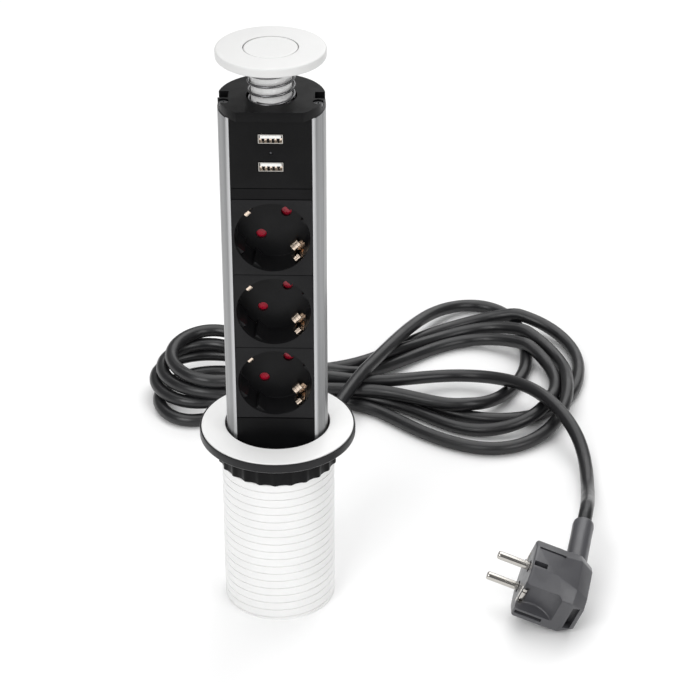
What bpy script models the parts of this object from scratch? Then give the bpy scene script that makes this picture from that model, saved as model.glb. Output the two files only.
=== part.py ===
"""Pull-up desk socket tower: three sockets and two USB ports in a round aluminium tower.

The tower slides in a threaded sleeve that hangs in a round desk hole between a flange and a
ring nut. Origin: centre of the sleeve's bottom rim. +Z up, the socket side faces -Y. Metres.
"""
import math

import bmesh
import bpy
from mathutils import Euler, Matrix, Vector

# ---- driving dimensions ------------------------------------------------------------------
GAP = 0.0003                    # clearance between pieces that touch

SLEEVE_OUTER_R = 0.0316
SLEEVE_INNER_R = 0.0295
SLEEVE_TOP = 0.1116
NOTCH_WIDTH = 0.0120            # cable notch in the sleeve's bottom rim, at the back
NOTCH_HEIGHT = 0.0120

FLANGE_OUTER_R = 0.0434
FLANGE_BOTTOM = 0.1072
FLANGE_RIM_TOP = 0.1129
TRIM_OUTER_R = 0.0424
TRIM_HOLE_R = 0.02915
TRIM_EDGE_TOP = 0.1131
RING_TOP = 0.1146               # top of the trim at its hole

WASHER_RELIEF_R = 0.0346        # a shallow relief under the flange takes the washer
WASHER_TOP = FLANGE_BOTTOM - GAP
WASHER_THICKNESS = 0.0008
NUT_BORE_R = 0.0319
NUT_RIDGE_R = 0.0338
NUT_FLUTE_DEPTH = 0.0011
NUT_RIDGES = 24
NUT_TOP = WASHER_TOP - WASHER_THICKNESS - GAP
NUT_BOTTOM = 0.0926

TOWER_R = 0.0281
TOWER_WALL = 0.0018
LIP_OUTER_X = 0.0233            # the bright front lips of the extrusion
LIP_INNER_X = 0.0214
LIP_FRONT_Y = -0.0165
FOOT_BOTTOM = 0.0740
FOOT_THICKNESS = 0.0049
FOOT_R = 0.0292
STOP_LIP_R = 0.02845            # lip in the sleeve that the foot meets from below
STOP_LIP_HEIGHT = 0.0025
TOWER_TOP = 0.3120
PLATE_THICKNESS = 0.0052
PLATE_R = 0.02785
PLATE_CHORD_Y = -0.0219
NECK_HOLE_R = 0.01095
SPRING_POCKET_R = 0.0132
SPRING_POCKET_DEPTH = 0.0026
SCREW_X, SCREW_Y = 0.0243, -0.0076

PANEL_HALF_WIDTH = 0.0211
PANEL_FRONT_Y = -0.0170
PANEL_THICKNESS = 0.0024
USB_PANEL_HEIGHT = 0.0396
SPACER_HEIGHT = 0.0060
SOCKET_PITCH = 0.0445
SOCKETS = 3
SOCKET_REAR_Y = 0.0050
RECESS_R = 0.0200
RECESS_DEPTH = 0.0175
RECESS_FLOOR = 0.0020
RIB_R = 0.0178                          # inner edge of the wedge-shaped guide ribs
RIB_FRONT = 0.0018                      # how far the ribs stay behind the socket's face
RIB_INNER, RIB_OUTER = 13, 29           # the angles between which a rib rises, in degrees
PIN_OFFSET = 0.0095 / math.sqrt(2)      # the pins stand 19 mm apart on a diagonal
PIN_HOLE_R = 0.0028

USB_WIDTH, USB_HEIGHT, USB_DEPTH = 0.0128, 0.0051, 0.0140
USB_DROPS = (0.0114, 0.0272)            # port centres below the panel's top edge
LIGHT_DROP = 0.0195

CAP_R = 0.02865
CAP_TOP = 0.3386
CAP_THICKNESS = 0.0050
INSERT_R = 0.0139
NECK_OUTER_R = 0.01065
NECK_INNER_R = 0.00905
NECK_BOTTOM = 0.2990
NECK_SLOT_HALF = 0.0073
NECK_SLOT_TOP = 0.3118
SPRING_R = 0.0119
SPRING_WIRE_R = 0.00065
SPRING_PITCH = 0.0049

CORD_R = 0.0042
CORD_LIE = CORD_R + 0.0002              # height of the centreline of cord that lies flat
GLAND_Y = -0.0120
RELIEF_LENGTH = 0.0217
CORD_SPLIT_Y = 0.0344                   # where the cord that moves with the tower ends
HANK_LOW, HANK_HIGH, WAIST_HIGH = 0.0018, 0.0335, 0.0280
LARGE_LOBE = ((0.1215, 0.2370), 0.0725, 0.1000)     # centre, half width and half depth
SMALL_LOBE = ((-0.0490, 0.2110), 0.0470, 0.0460)
TIE_X, TIE_Y, WAIST_HALF = -0.0020, 0.2120, 0.0150
TIE_CLEAR = 0.0080                      # half of the stretch where only the waist is left

PLUG_ORIGIN = Vector((0.1391, -0.0242, 0.0275))     # centre of the plug's pin face
PLUG_TURN = Euler((math.radians(12), math.radians(19.1), math.radians(-7.5)), "XYZ")
PLUG_HALF = 0.0192
PLUG_REAR_X = 0.0360
PLUG_CABLE_X = 0.0280
PIN_R, PIN_LENGTH, PIN_SPACING = 0.0024, 0.0190, 0.0190
PLUG_RELIEF_R = 0.0060
PLUG_RELIEF_END = 0.0570

MATERIALS = {
    "white_plastic": ((0.86, 0.86, 0.85), 0.35, 0.0),
    "black_plastic": ((0.018, 0.018, 0.020), 0.42, 0.0),
    "black_rubber": ((0.020, 0.020, 0.022), 0.60, 0.0),
    "felt": ((0.045, 0.045, 0.045), 0.95, 0.0),
    "aluminium": ((0.60, 0.61, 0.62), 0.34, 1.0),
    "spring_steel": ((0.62, 0.62, 0.62), 0.22, 1.0),
    "zinc_steel": ((0.55, 0.55, 0.53), 0.35, 1.0),
    "nickel": ((0.78, 0.75, 0.70), 0.16, 1.0),
    "brass": ((0.80, 0.58, 0.26), 0.28, 1.0),
    "red_shutter": ((0.34, 0.004, 0.030), 0.38, 0.0),
    "port_white": ((0.80, 0.80, 0.78), 0.45, 0.0),
    "board_green": ((0.020, 0.150, 0.060), 0.50, 0.0),
    "light_lens": ((0.10, 0.11, 0.13), 0.15, 0.0),
    "wire_brown": ((0.20, 0.075, 0.030), 0.50, 0.0),
    "wire_blue": ((0.030, 0.12, 0.50), 0.50, 0.0),
    "wire_green": ((0.25, 0.45, 0.04), 0.50, 0.0),
    "cord_black": ((0.016, 0.016, 0.018), 0.48, 0.0),
}

for old in list(bpy.data.objects):
    bpy.data.objects.remove(old, do_unlink=True)

PARTS = bpy.data.collections.new("desk_socket_tower")
CUTTERS = bpy.data.collections.new("cutters")
bpy.context.scene.collection.children.link(PARTS)
bpy.context.scene.collection.children.link(CUTTERS)


# ---- helpers -----------------------------------------------------------------------------
def material(name):
    """The Principled material of that name, made once."""
    found = bpy.data.materials.get(name)
    if found:
        return found
    color, roughness, metallic = MATERIALS[name]
    made = bpy.data.materials.new(name)
    made.use_nodes = True
    shader = made.node_tree.nodes["Principled BSDF"]
    shader.inputs["Base Color"].default_value = (*color, 1.0)
    shader.inputs["Roughness"].default_value = roughness
    shader.inputs["Metallic"].default_value = metallic
    made.diffuse_color = (*color, 1.0)
    return made


def new_part(name, data, look, parent=None):
    """A named piece in the parts collection, placed in its parent's frame."""
    obj = bpy.data.objects.new(name, data)
    PARTS.objects.link(obj)
    data.materials.append(material(look))
    obj.parent = parent
    return obj


def new_cutter(bm, name="cutter"):
    """A guide solid in the cutters collection, never rendered."""
    mesh = bpy.data.meshes.new(name)
    bm.to_mesh(mesh)
    bm.free()
    obj = bpy.data.objects.new(name, mesh)
    CUTTERS.objects.link(obj)
    obj.hide_render = True
    obj.display_type = "WIRE"
    return obj


def new_empty(name, location):
    """An empty that carries a moving piece on its joint axis."""
    obj = bpy.data.objects.new(name, None)
    obj.location = location
    obj.empty_display_size = 0.01
    PARTS.objects.link(obj)
    return obj


def boolean(obj, cutter, operation="DIFFERENCE"):
    """Adds an exact Boolean modifier."""
    step = obj.modifiers.new(cutter.name, "BOOLEAN")
    step.operation = operation
    step.object = cutter
    step.solver = "EXACT"
    return obj


def box(low, high):
    """A bmesh box between two corners."""
    low, high = Vector(low), Vector(high)
    bm = bmesh.new()
    bmesh.ops.create_cube(bm, size=1.0)
    bmesh.ops.scale(bm, vec=high - low, verts=bm.verts)
    bmesh.ops.translate(bm, vec=(low + high) / 2, verts=bm.verts)
    return bm


def rod(start, end, radius, segments=24, end_radius=None):
    """A bmesh cylinder, or cone, between two points."""
    start, end = Vector(start), Vector(end)
    along = end - start
    bm = bmesh.new()
    bmesh.ops.create_cone(
        bm, cap_ends=True, segments=segments, radius1=radius,
        radius2=radius if end_radius is None else end_radius, depth=along.length,
    )
    turn = along.to_track_quat("Z", "Y").to_matrix().to_4x4()
    bmesh.ops.transform(bm, matrix=Matrix.Translation((start + end) / 2) @ turn, verts=bm.verts)
    return bm


def solid(name, bm, look, parent=None, smooth=True):
    """A piece from a bmesh, shaded smooth with sharp edges kept."""
    mesh = bpy.data.meshes.new(name)
    bm.to_mesh(mesh)
    bm.free()
    if smooth:
        mesh.shade_smooth()
        mesh.set_sharp_from_angle(angle=math.radians(35))
    return new_part(name, mesh, look, parent)


def turned(name, profile, look, closed=False, segments=48, parent=None):
    """A profile of (radius, height) swept once round Z. It runs down its outer side."""
    bm = bmesh.new()
    verts = [bm.verts.new((r, 0.0, z)) for r, z in profile]
    for a, b in zip(verts, verts[1:]):
        bm.edges.new((a, b))
    if closed:
        bm.edges.new((verts[-1], verts[0]))
    obj = solid(name, bm, look, parent, smooth=False)
    screw = obj.modifiers.new("turn", "SCREW")
    screw.axis = "Z"
    screw.angle = math.tau
    screw.steps = segments
    screw.render_steps = segments
    screw.use_merge_vertices = True
    screw.merge_threshold = 0.00001
    screw.use_smooth_shade = True
    return obj


def prism(outline, low_z, high_z):
    """A bmesh solid from a flat outline of (x, y) points, extruded up."""
    bm = bmesh.new()
    bottom = [bm.verts.new((x, y, low_z)) for x, y in outline]
    face = bm.faces.new(bottom)
    lifted = bmesh.ops.extrude_face_region(bm, geom=[face])["geom"]
    top = [v for v in lifted if isinstance(v, bmesh.types.BMVert)]
    bmesh.ops.translate(bm, vec=(0, 0, high_z - low_z), verts=top)
    bmesh.ops.recalc_face_normals(bm, faces=bm.faces)
    return bm


def arc(radius, start, end, count, centre=(0.0, 0.0)):
    """count + 1 points (x, y) on an arc, angles in degrees."""
    steps = [math.radians(start + (end - start) * i / count) for i in range(count + 1)]
    return [(centre[0] + radius * math.cos(a), centre[1] + radius * math.sin(a)) for a in steps]


def smooth_path(route, spacing):
    """Points about spacing apart on a smooth curve (Catmull-Rom) through the route's points."""
    route = [Vector(p) for p in route]
    ends = [route[0] * 2 - route[1], *route, route[-1] * 2 - route[-2]]
    path = []
    for p0, p1, p2, p3 in zip(ends, ends[1:], ends[2:], ends[3:]):
        steps = max(1, round((p2 - p1).length / spacing))
        for i in range(steps):
            t = i / steps
            path.append(0.5 * (2 * p1 + (p2 - p0) * t + (2 * p0 - 5 * p1 + 4 * p2 - p3) * t ** 2
                               + (3 * p1 - p0 - 3 * p2 + p3) * t ** 3))
    return [*path, route[-1]]


def tube(name, points, radius, look, resolution=2, parent=None):
    """A round tube along points: a polyline curve with a bevel and filled caps."""
    curve = bpy.data.curves.new(name, "CURVE")
    curve.dimensions = "3D"
    curve.bevel_depth = radius
    curve.bevel_resolution = resolution
    curve.use_fill_caps = True
    spline = curve.splines.new("POLY")
    spline.points.add(len(points) - 1)
    for point, place in zip(spline.points, points):
        point.co = (*place, 1.0)
    return new_part(name, curve, look, parent)


# ---- sleeve, flange and nut ----------------------------------------------------------------
def make_sleeve():
    """The threaded sleeve with its stop lip and the cable notch at the back."""
    lip_low = FOOT_BOTTOM + FOOT_THICKNESS + GAP
    lip_high = lip_low + STOP_LIP_HEIGHT
    sleeve = turned("threaded_sleeve", [
        (SLEEVE_OUTER_R, SLEEVE_TOP), (SLEEVE_OUTER_R, 0.0),
        (SLEEVE_INNER_R, 0.0), (SLEEVE_INNER_R, lip_low), (STOP_LIP_R, lip_low),
        (STOP_LIP_R, lip_high), (SLEEVE_INNER_R, lip_high), (SLEEVE_INNER_R, SLEEVE_TOP),
    ], "white_plastic", closed=True)
    half = NOTCH_WIDTH / 2
    notch = box((-half, 0.020, -0.005), (half, 0.040, NOTCH_HEIGHT))
    boolean(sleeve, new_cutter(notch, "cable_notch"))


def make_flange():
    """The black flange, the white trim ring let into it and the friction ring in the mouth."""
    recess_r = TRIM_OUTER_R + GAP
    recess_z = SLEEVE_TOP
    bevel = 0.0007
    turned("flange_ring", [
        (recess_r, recess_z), (recess_r, FLANGE_RIM_TOP - 0.0002),
        (recess_r + 0.0002, FLANGE_RIM_TOP), (FLANGE_OUTER_R - 0.0003, FLANGE_RIM_TOP - 0.0002),
        (FLANGE_OUTER_R, FLANGE_RIM_TOP - bevel), (FLANGE_OUTER_R, FLANGE_BOTTOM + bevel),
        (FLANGE_OUTER_R - bevel, FLANGE_BOTTOM), (WASHER_RELIEF_R, FLANGE_BOTTOM),
        (WASHER_RELIEF_R, FLANGE_BOTTOM + GAP), (SLEEVE_OUTER_R + GAP, FLANGE_BOTTOM + GAP),
        (SLEEVE_OUTER_R + GAP, recess_z),
    ], "black_rubber", closed=True)
    turned("trim_ring", [
        (TRIM_HOLE_R + 0.0004, RING_TOP), (TRIM_OUTER_R - 0.0004, TRIM_EDGE_TOP),
        (TRIM_OUTER_R, TRIM_EDGE_TOP - 0.0004), (TRIM_OUTER_R, recess_z + GAP),
        (TRIM_HOLE_R, recess_z + GAP), (TRIM_HOLE_R, RING_TOP - 0.0004),
    ], "white_plastic", closed=True)
    turned("friction_ring", [
        (SLEEVE_INNER_R - GAP, 0.1040), (SLEEVE_INNER_R - GAP, 0.0980),
        (TOWER_R + GAP, 0.0980), (TOWER_R + GAP, 0.1040),
    ], "felt", closed=True, segments=40)


def nut_outline():
    """The nut's outside: narrow ridges with wide shallow flutes between them."""
    points = []
    per_ridge = 4
    for i in range(NUT_RIDGES * per_ridge):
        angle = math.tau * i / (NUT_RIDGES * per_ridge) - math.pi / 2
        ridge = abs(math.cos(math.pi * i / per_ridge)) ** 3
        radius = NUT_RIDGE_R - NUT_FLUTE_DEPTH * (1 - ridge)
        points.append((radius * math.cos(angle), radius * math.sin(angle)))
    return points


def make_nut():
    """The fluted ring nut and the slip washer that travels down the thread with it."""
    nut = solid("ring_nut", prism(nut_outline(), NUT_BOTTOM, NUT_TOP), "black_plastic")
    bore = rod((0, 0, NUT_BOTTOM - 0.01), (0, 0, NUT_TOP + 0.01), NUT_BORE_R, 48)
    boolean(nut, new_cutter(bore, "nut_bore"))
    turned("clamp_washer", [
        (0.0336, WASHER_TOP), (0.0336, WASHER_TOP - WASHER_THICKNESS),
        (NUT_BORE_R, WASHER_TOP - WASHER_THICKNESS), (NUT_BORE_R, WASHER_TOP),
    ], "black_rubber", closed=True)


# ---- tower shell ---------------------------------------------------------------------------
PROFILE_LOW = FOOT_BOTTOM + FOOT_THICKNESS + GAP
PLATE_LOW = TOWER_TOP - PLATE_THICKNESS
PROFILE_HIGH = PLATE_LOW - GAP


def profile_outline():
    """Half-open round section: outer arc, flat front lips, inner arc."""
    inner_r = TOWER_R - TOWER_WALL
    outer_angle = math.degrees(math.acos(LIP_OUTER_X / TOWER_R))
    inner_angle = math.degrees(math.acos(LIP_INNER_X / inner_r))
    outer = arc(TOWER_R, -outer_angle, 180 + outer_angle, 40)
    inner = arc(inner_r, 180 + inner_angle, -inner_angle, 30)
    return [(LIP_INNER_X, LIP_FRONT_Y), *outer, (-LIP_INNER_X, LIP_FRONT_Y), *inner]


def make_tower_shell():
    """The extrusion with its screw ports, the top plate and the foot."""
    profile = solid("tower_profile", prism(profile_outline(), PROFILE_LOW, PROFILE_HIGH),
                    "aluminium")
    plate = solid("top_plate", prism(plate_outline(), PLATE_LOW, TOWER_TOP), "black_plastic")
    foot = solid("tower_foot", rod((0, 0, FOOT_BOTTOM), (0, 0, FOOT_BOTTOM + FOOT_THICKNESS),
                                   FOOT_R, 48), "black_plastic")
    hole = rod((0, 0, PLATE_LOW - 0.01), (0, 0, TOWER_TOP + 0.01), NECK_HOLE_R, 32)
    boolean(plate, new_cutter(hole, "neck_hole"))
    pocket = rod((0, 0, TOWER_TOP - SPRING_POCKET_DEPTH), (0, 0, TOWER_TOP + 0.01),
                 SPRING_POCKET_R, 32)
    boolean(plate, new_cutter(pocket, "spring_pocket"))
    gland = rod((0, GLAND_Y, 0), (0, GLAND_Y, PROFILE_LOW + 0.01), 0.0048, 24)
    boolean(foot, new_cutter(gland, "gland_hole"))
    for side in (-1, 1):
        x = side * SCREW_X
        boss = rod((x, SCREW_Y, PROFILE_LOW), (x, SCREW_Y, PROFILE_HIGH), 0.0028, 16)
        boolean(profile, new_cutter(boss, "screw_port"), "UNION")
    for side in (-1, 1):
        x = side * SCREW_X
        through = new_cutter(rod((x, SCREW_Y, 0.0), (x, SCREW_Y, 0.4), 0.0015, 16), "screw_hole")
        for piece in (profile, plate, foot):
            boolean(piece, through)
        head_top = rod((x, SCREW_Y, TOWER_TOP - 0.0026), (x, SCREW_Y, TOWER_TOP + 0.01), 0.0028)
        boolean(plate, new_cutter(head_top, "counterbore"))
        head_low = rod((x, SCREW_Y, 0.05), (x, SCREW_Y, FOOT_BOTTOM + 0.0024), 0.0029)
        boolean(foot, new_cutter(head_low, "counterbore"))
        slot = box((min(side * 0.0223, side * 0.04), -0.0036, TOWER_TOP - 0.0036),
                   (max(side * 0.0223, side * 0.04), 0.0044, TOWER_TOP + 0.01))
        boolean(plate, new_cutter(slot, "edge_slot"))


def plate_outline():
    """A disc with a flat chord at the front."""
    chord = math.degrees(math.asin(-PLATE_CHORD_Y / PLATE_R))
    return arc(PLATE_R, -chord, 180 + chord, 44)


def screw(name, x, y, low, high, head_at_top):
    """A pan-head screw with a cross slot in its head, standing along Z."""
    head_low, head_high = (high - 0.0016, high) if head_at_top else (low, low + 0.0016)
    obj = solid(name, rod((x, y, low), (x, y, high), 0.0011, 8), "zinc_steel")
    head = rod((x, y, head_low), (x, y, head_high), 0.0024, 16)
    boolean(obj, new_cutter(head, "screw_head"), "UNION")
    face = high if head_at_top else low
    for wide, deep in ((0.0016, 0.0003), (0.0003, 0.0016)):
        slot = box((x - wide, y - deep, face - 0.0007), (x + wide, y + deep, face + 0.0007))
        boolean(obj, new_cutter(slot, "screw_slot"))
    return obj


def make_screws():
    """Two screws hold the top plate and two hold the foot."""
    for number, side in enumerate((-1, 1), 1):
        x = side * SCREW_X
        screw(f"top_screw_{number}", x, SCREW_Y, 0.2960, TOWER_TOP - 0.0008, True)
        screw(f"foot_screw_{number}", x, SCREW_Y, FOOT_BOTTOM + 0.0005, 0.0900, False)


# ---- front panels and USB ------------------------------------------------------------------
PANEL_TOP = PLATE_LOW - GAP
USB_LOW = PANEL_TOP - USB_PANEL_HEIGHT
SPACER_TOP = USB_LOW - GAP
SPACER_LOW = SPACER_TOP - SPACER_HEIGHT
SOCKET_TOP = SPACER_LOW - GAP


def socket_centre(index):
    """Height of a socket's centre, counted from the top."""
    return SOCKET_TOP - SOCKET_PITCH * (index + 0.5)


def panel(name, low_z, high_z):
    """A flat black cover between the lips."""
    bm = box((-PANEL_HALF_WIDTH, PANEL_FRONT_Y, low_z),
             (PANEL_HALF_WIDTH, PANEL_FRONT_Y + PANEL_THICKNESS, high_z))
    return solid(name, bm, "black_plastic", smooth=False)


def make_usb():
    """The USB panel, its two ports, the light, the two boards and what stands on them."""
    cover = panel("usb_panel", USB_LOW, PANEL_TOP)
    for number, drop in enumerate(USB_DROPS, 1):
        z = PANEL_TOP - drop
        w, h = USB_WIDTH / 2, USB_HEIGHT / 2
        window = box((-w - GAP, -0.03, z - h - GAP), (w + GAP, -0.01, z + h + GAP))
        boolean(cover, new_cutter(window, "usb_window"))
        front = PANEL_FRONT_Y - 0.0002
        shell = solid(f"usb_shell_{number}", box((-w, front, z - h), (w, front + USB_DEPTH, z + h)),
                      "nickel", smooth=False)
        wall = 0.0004
        cavity = box((-w + wall, front - 0.01, z - h + wall),
                     (w - wall, front + USB_DEPTH - wall, z + h - wall))
        boolean(shell, new_cutter(cavity, "usb_cavity"))
        solid(f"usb_tongue_{number}", box((-0.0055, front + 0.0008, z - 0.0001),
                                          (0.0055, front + USB_DEPTH - wall - GAP, z + 0.0017)),
              "port_white", smooth=False)
    z = PANEL_TOP - LIGHT_DROP
    hole = rod((0, -0.03, z), (0, -0.01, z), 0.0009, 16)
    boolean(cover, new_cutter(hole, "light_hole"))
    solid("indicator_light", rod((0, PANEL_FRONT_Y + 0.0003, z), (0, -0.0120, z), 0.0006, 12),
          "light_lens")
    board_y = PANEL_FRONT_Y - 0.0002 + USB_DEPTH + GAP
    power_z = USB_LOW - 0.0010
    solid("usb_port_board", box((-0.0080, board_y, power_z + GAP), (0.0080, board_y + 0.0016, 0.3005)),
          "board_green", smooth=False)
    solid("usb_power_board", box((-0.0180, -0.0130, power_z - 0.0016), (0.0180, 0.0160, power_z)),
          "board_green", smooth=False)
    solid("usb_transformer", box((-0.0090, board_y + 0.0022, power_z + GAP),
                                 (0.0060, 0.0150, power_z + 0.0160)), "port_white", smooth=False)
    solid("usb_capacitor", rod((0.0130, 0.0050, power_z + GAP), (0.0130, 0.0050, power_z + 0.0150),
                               0.0040, 20), "black_plastic")


def make_panels():
    """The thin spacer over the sockets and the blank cover that runs down into the sleeve."""
    panel("spacer_panel", SPACER_LOW, SPACER_TOP)
    blank_top = SOCKET_TOP - SOCKETS * SOCKET_PITCH - GAP
    panel("blank_panel", PROFILE_LOW + GAP, blank_top)


# ---- sockets -------------------------------------------------------------------------------
def diagonal(u, v, angle):
    """(x, z) of a point u along and v across a direction in the socket's face."""
    a = math.radians(angle)
    return (u * math.cos(a) - v * math.sin(a), u * math.sin(a) + v * math.cos(a))


def along_y(bm, z):
    """Turns a bmesh that was built along +Z so that it points along +Y, at height z."""
    turn = Matrix.Rotation(math.radians(-90), 4, "X")
    bmesh.ops.transform(bm, matrix=Matrix.Translation((0, 0, z)) @ turn, verts=bm.verts)
    return bm


def recess_outline(ribbed):
    """The round recess. Each end of the pin diagonal has two wedge ribs beside a groove."""
    points = []
    for middle in (-45, 135):
        points += arc(RECESS_R, middle - RIB_INNER, middle + RIB_INNER, 4)
        if ribbed:
            points.append(diagonal(RIB_R, 0.0, middle + RIB_INNER))
        else:
            points += arc(RECESS_R, middle + RIB_INNER, middle + RIB_OUTER, 3)[1:-1]
        points += arc(RECESS_R, middle + RIB_OUTER, middle + 180 - RIB_OUTER, 18)
        if ribbed:
            points.append(diagonal(RIB_R, 0.0, middle + 180 - RIB_INNER))
        else:
            points += arc(RECESS_R, middle + 180 - RIB_OUTER, middle + 180 - RIB_INNER, 3)[1:-1]
    return points


def channel(angle, u_range, half_width, y_range, z):
    """A box cutter along a diagonal of the socket, between two depths."""
    (u0, u1), (y0, y1) = u_range, y_range
    bm = box((u0, -half_width, 0), (u1, half_width, y1 - y0))
    turn = Matrix.Rotation(math.radians(angle), 4, "Z")
    bmesh.ops.transform(bm, matrix=Matrix.Translation((0, 0, y0)) @ turn, verts=bm.verts)
    return along_y(bm, z)


def make_socket(index):
    """One socket: its moulded body, the sprung shutter and the earth strap with two fingers."""
    z = socket_centre(index)
    number = index + 1
    half_height = (SOCKET_PITCH - GAP) / 2
    body = solid(f"socket_body_{number}", box(
        (-PANEL_HALF_WIDTH, PANEL_FRONT_Y, z - half_height),
        (PANEL_HALF_WIDTH, SOCKET_REAR_Y, z + half_height)), "black_plastic", smooth=False)
    floor_front = PANEL_FRONT_Y + RECESS_DEPTH
    floor_rear = floor_front + RECESS_FLOOR
    recess = along_y(prism(recess_outline(True), PANEL_FRONT_Y - 0.01, floor_front), z)
    boolean(body, new_cutter(recess, "recess"))
    mouth = along_y(prism(recess_outline(False), PANEL_FRONT_Y - 0.01, PANEL_FRONT_Y + RIB_FRONT), z)
    boolean(body, new_cutter(mouth, "recess_mouth"))
    cavity = rod((0, floor_rear, z), (0, SOCKET_REAR_Y + 0.01, z), 0.0160, 40)
    boolean(body, new_cutter(cavity, "shutter_cavity"))
    pivot = rod((0, floor_rear - 0.0005, z), (0, floor_rear + 0.0016, z), 0.0012, 12)
    boolean(body, new_cutter(pivot, "shutter_pivot"), "UNION")
    for side in (-1, 1):
        x, dz = side * PIN_OFFSET, side * PIN_OFFSET
        hole = rod((x, -0.01, z + dz), (x, 0.01, z + dz), PIN_HOLE_R, 20)
        boolean(body, new_cutter(hole, "pin_hole"))
    for angle in (45, 225):
        finger = channel(angle, (0.0175, 0.0214), 0.0030,
                         (PANEL_FRONT_Y + 0.0012, SOCKET_REAR_Y + 0.01), z)
        boolean(body, new_cutter(finger, "finger_channel"))
        back = channel(angle, (0.0140, 0.0214), 0.0030, (floor_rear, SOCKET_REAR_Y + 0.01), z)
        boolean(body, new_cutter(back, "strap_channel"))
    make_shutter(number, z, floor_rear)
    make_earth_strap(number, z)


def shutter_outline():
    """Two paddles on a round hub."""
    paddle_r, hub_r, spread = 0.0136, 0.0032, 19
    points = []
    for middle in (-45, 135):
        points += arc(paddle_r, middle - spread, middle + spread, 6)
        points += arc(hub_r, middle + 50, middle + 130, 4)
    return points


def make_shutter(number, z, floor_rear):
    """The red shutter that closes both pin holes from behind. It turns on the centre pivot."""
    axis = new_empty(f"shutter_axis_{number}", (0, 0, z))
    bm = along_y(prism(shutter_outline(), floor_rear + GAP, floor_rear + 0.0015), 0.0)
    shutter = solid(f"shutter_{number}", bm, "red_shutter", axis)
    bore = rod((0, -0.01, z), (0, 0.02, z), 0.0016, 12)
    boolean(shutter, new_cutter(bore, "shutter_bore"))


def make_earth_strap(number, z):
    """A bent strap across the free diagonal, with a sprung finger at each end of the recess."""
    half = [(0.0181, -0.0118), (0.0196, -0.0085), (0.0182, -0.0050), (0.0203, -0.0015),
            (0.0203, 0.0036), (0.0193, 0.0047)]
    line = half + [(-u, y) for u, y in reversed(half)]
    bm = bmesh.new()
    rows = [[bm.verts.new((u, v, y)) for v in (-0.0022, 0.0022)] for u, y in line]
    for (a, b), (c, d) in zip(rows, rows[1:]):
        bm.faces.new((a, b, d, c))
    turn = Matrix.Rotation(math.radians(45), 4, "Z")
    bmesh.ops.transform(bm, matrix=turn, verts=bm.verts)
    strap = solid(f"earth_strap_{number}", along_y(bm, z), "nickel", smooth=False)
    thick = strap.modifiers.new("thickness", "SOLIDIFY")
    thick.thickness = 0.0007
    thick.offset = 0.0
    thick.use_even_offset = True


def make_contacts():
    """The insulator behind the sockets, the two contact rails and the earth rail."""
    low, high = SOCKET_TOP - SOCKETS * SOCKET_PITCH + GAP, SOCKET_TOP - GAP
    insulator = solid("contact_insulator", box((-0.0170, 0.0066, low), (0.0170, 0.0096, high)),
                      "black_plastic", smooth=False)
    lowest, highest = socket_centre(SOCKETS - 1), socket_centre(0)
    for name, side in (("live_rail", 1), ("neutral_rail", -1)):
        x = side * PIN_OFFSET
        rail = solid(name, box((x - 0.0025, 0.0120, lowest - 0.0120), (x + 0.0025, 0.0128, highest + 0.0120)),
                     "brass", smooth=False)
        for index in range(SOCKETS):
            z = socket_centre(index) + side * PIN_OFFSET
            grip = rod((x, 0.0058, z), (x, 0.0190, z), 0.0032, 16)
            boolean(rail, new_cutter(grip, "contact_tube"), "UNION")
            passage = rod((x, 0.0, z), (x, 0.0110, z), 0.0036, 20)
            boolean(insulator, new_cutter(passage, "contact_passage"))
        for index in range(SOCKETS):
            z = socket_centre(index) + side * PIN_OFFSET
            bore = rod((x, 0.0, z), (x, 0.03, z), 0.0025, 16)
            boolean(rail, new_cutter(bore, "contact_bore"))
    solid("earth_rail", box((-0.0028, 0.0055, lowest - 0.0270), (0.0028, 0.0063, highest + 0.0100)),
          "brass", smooth=False)
    for name, look, start_x, end in (
        ("live_wire", "wire_brown", 0.0026, (PIN_OFFSET, 0.0124, lowest - 0.0120)),
        ("neutral_wire", "wire_blue", -0.0026, (-PIN_OFFSET, 0.0124, lowest - 0.0120)),
        ("earth_wire", "wire_green", 0.0, (0.0, 0.0059, lowest - 0.0270)),
    ):
        start_y = GLAND_Y + (0.0032 if name == "earth_wire" else 0.0010)
        tip = Vector(end) - Vector((0, 0, GAP))
        route = [(start_x, start_y, FOOT_BOTTOM + GAP), (start_x, start_y, PROFILE_LOW + 0.0040),
                 (start_x * 1.6, (start_y + end[1]) / 2, (PROFILE_LOW + tip.z) / 2),
                 tip - Vector((0, 0, 0.0090)), tip]
        tube(name, smooth_path(route, 0.005), 0.0011, look, resolution=1)


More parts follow.
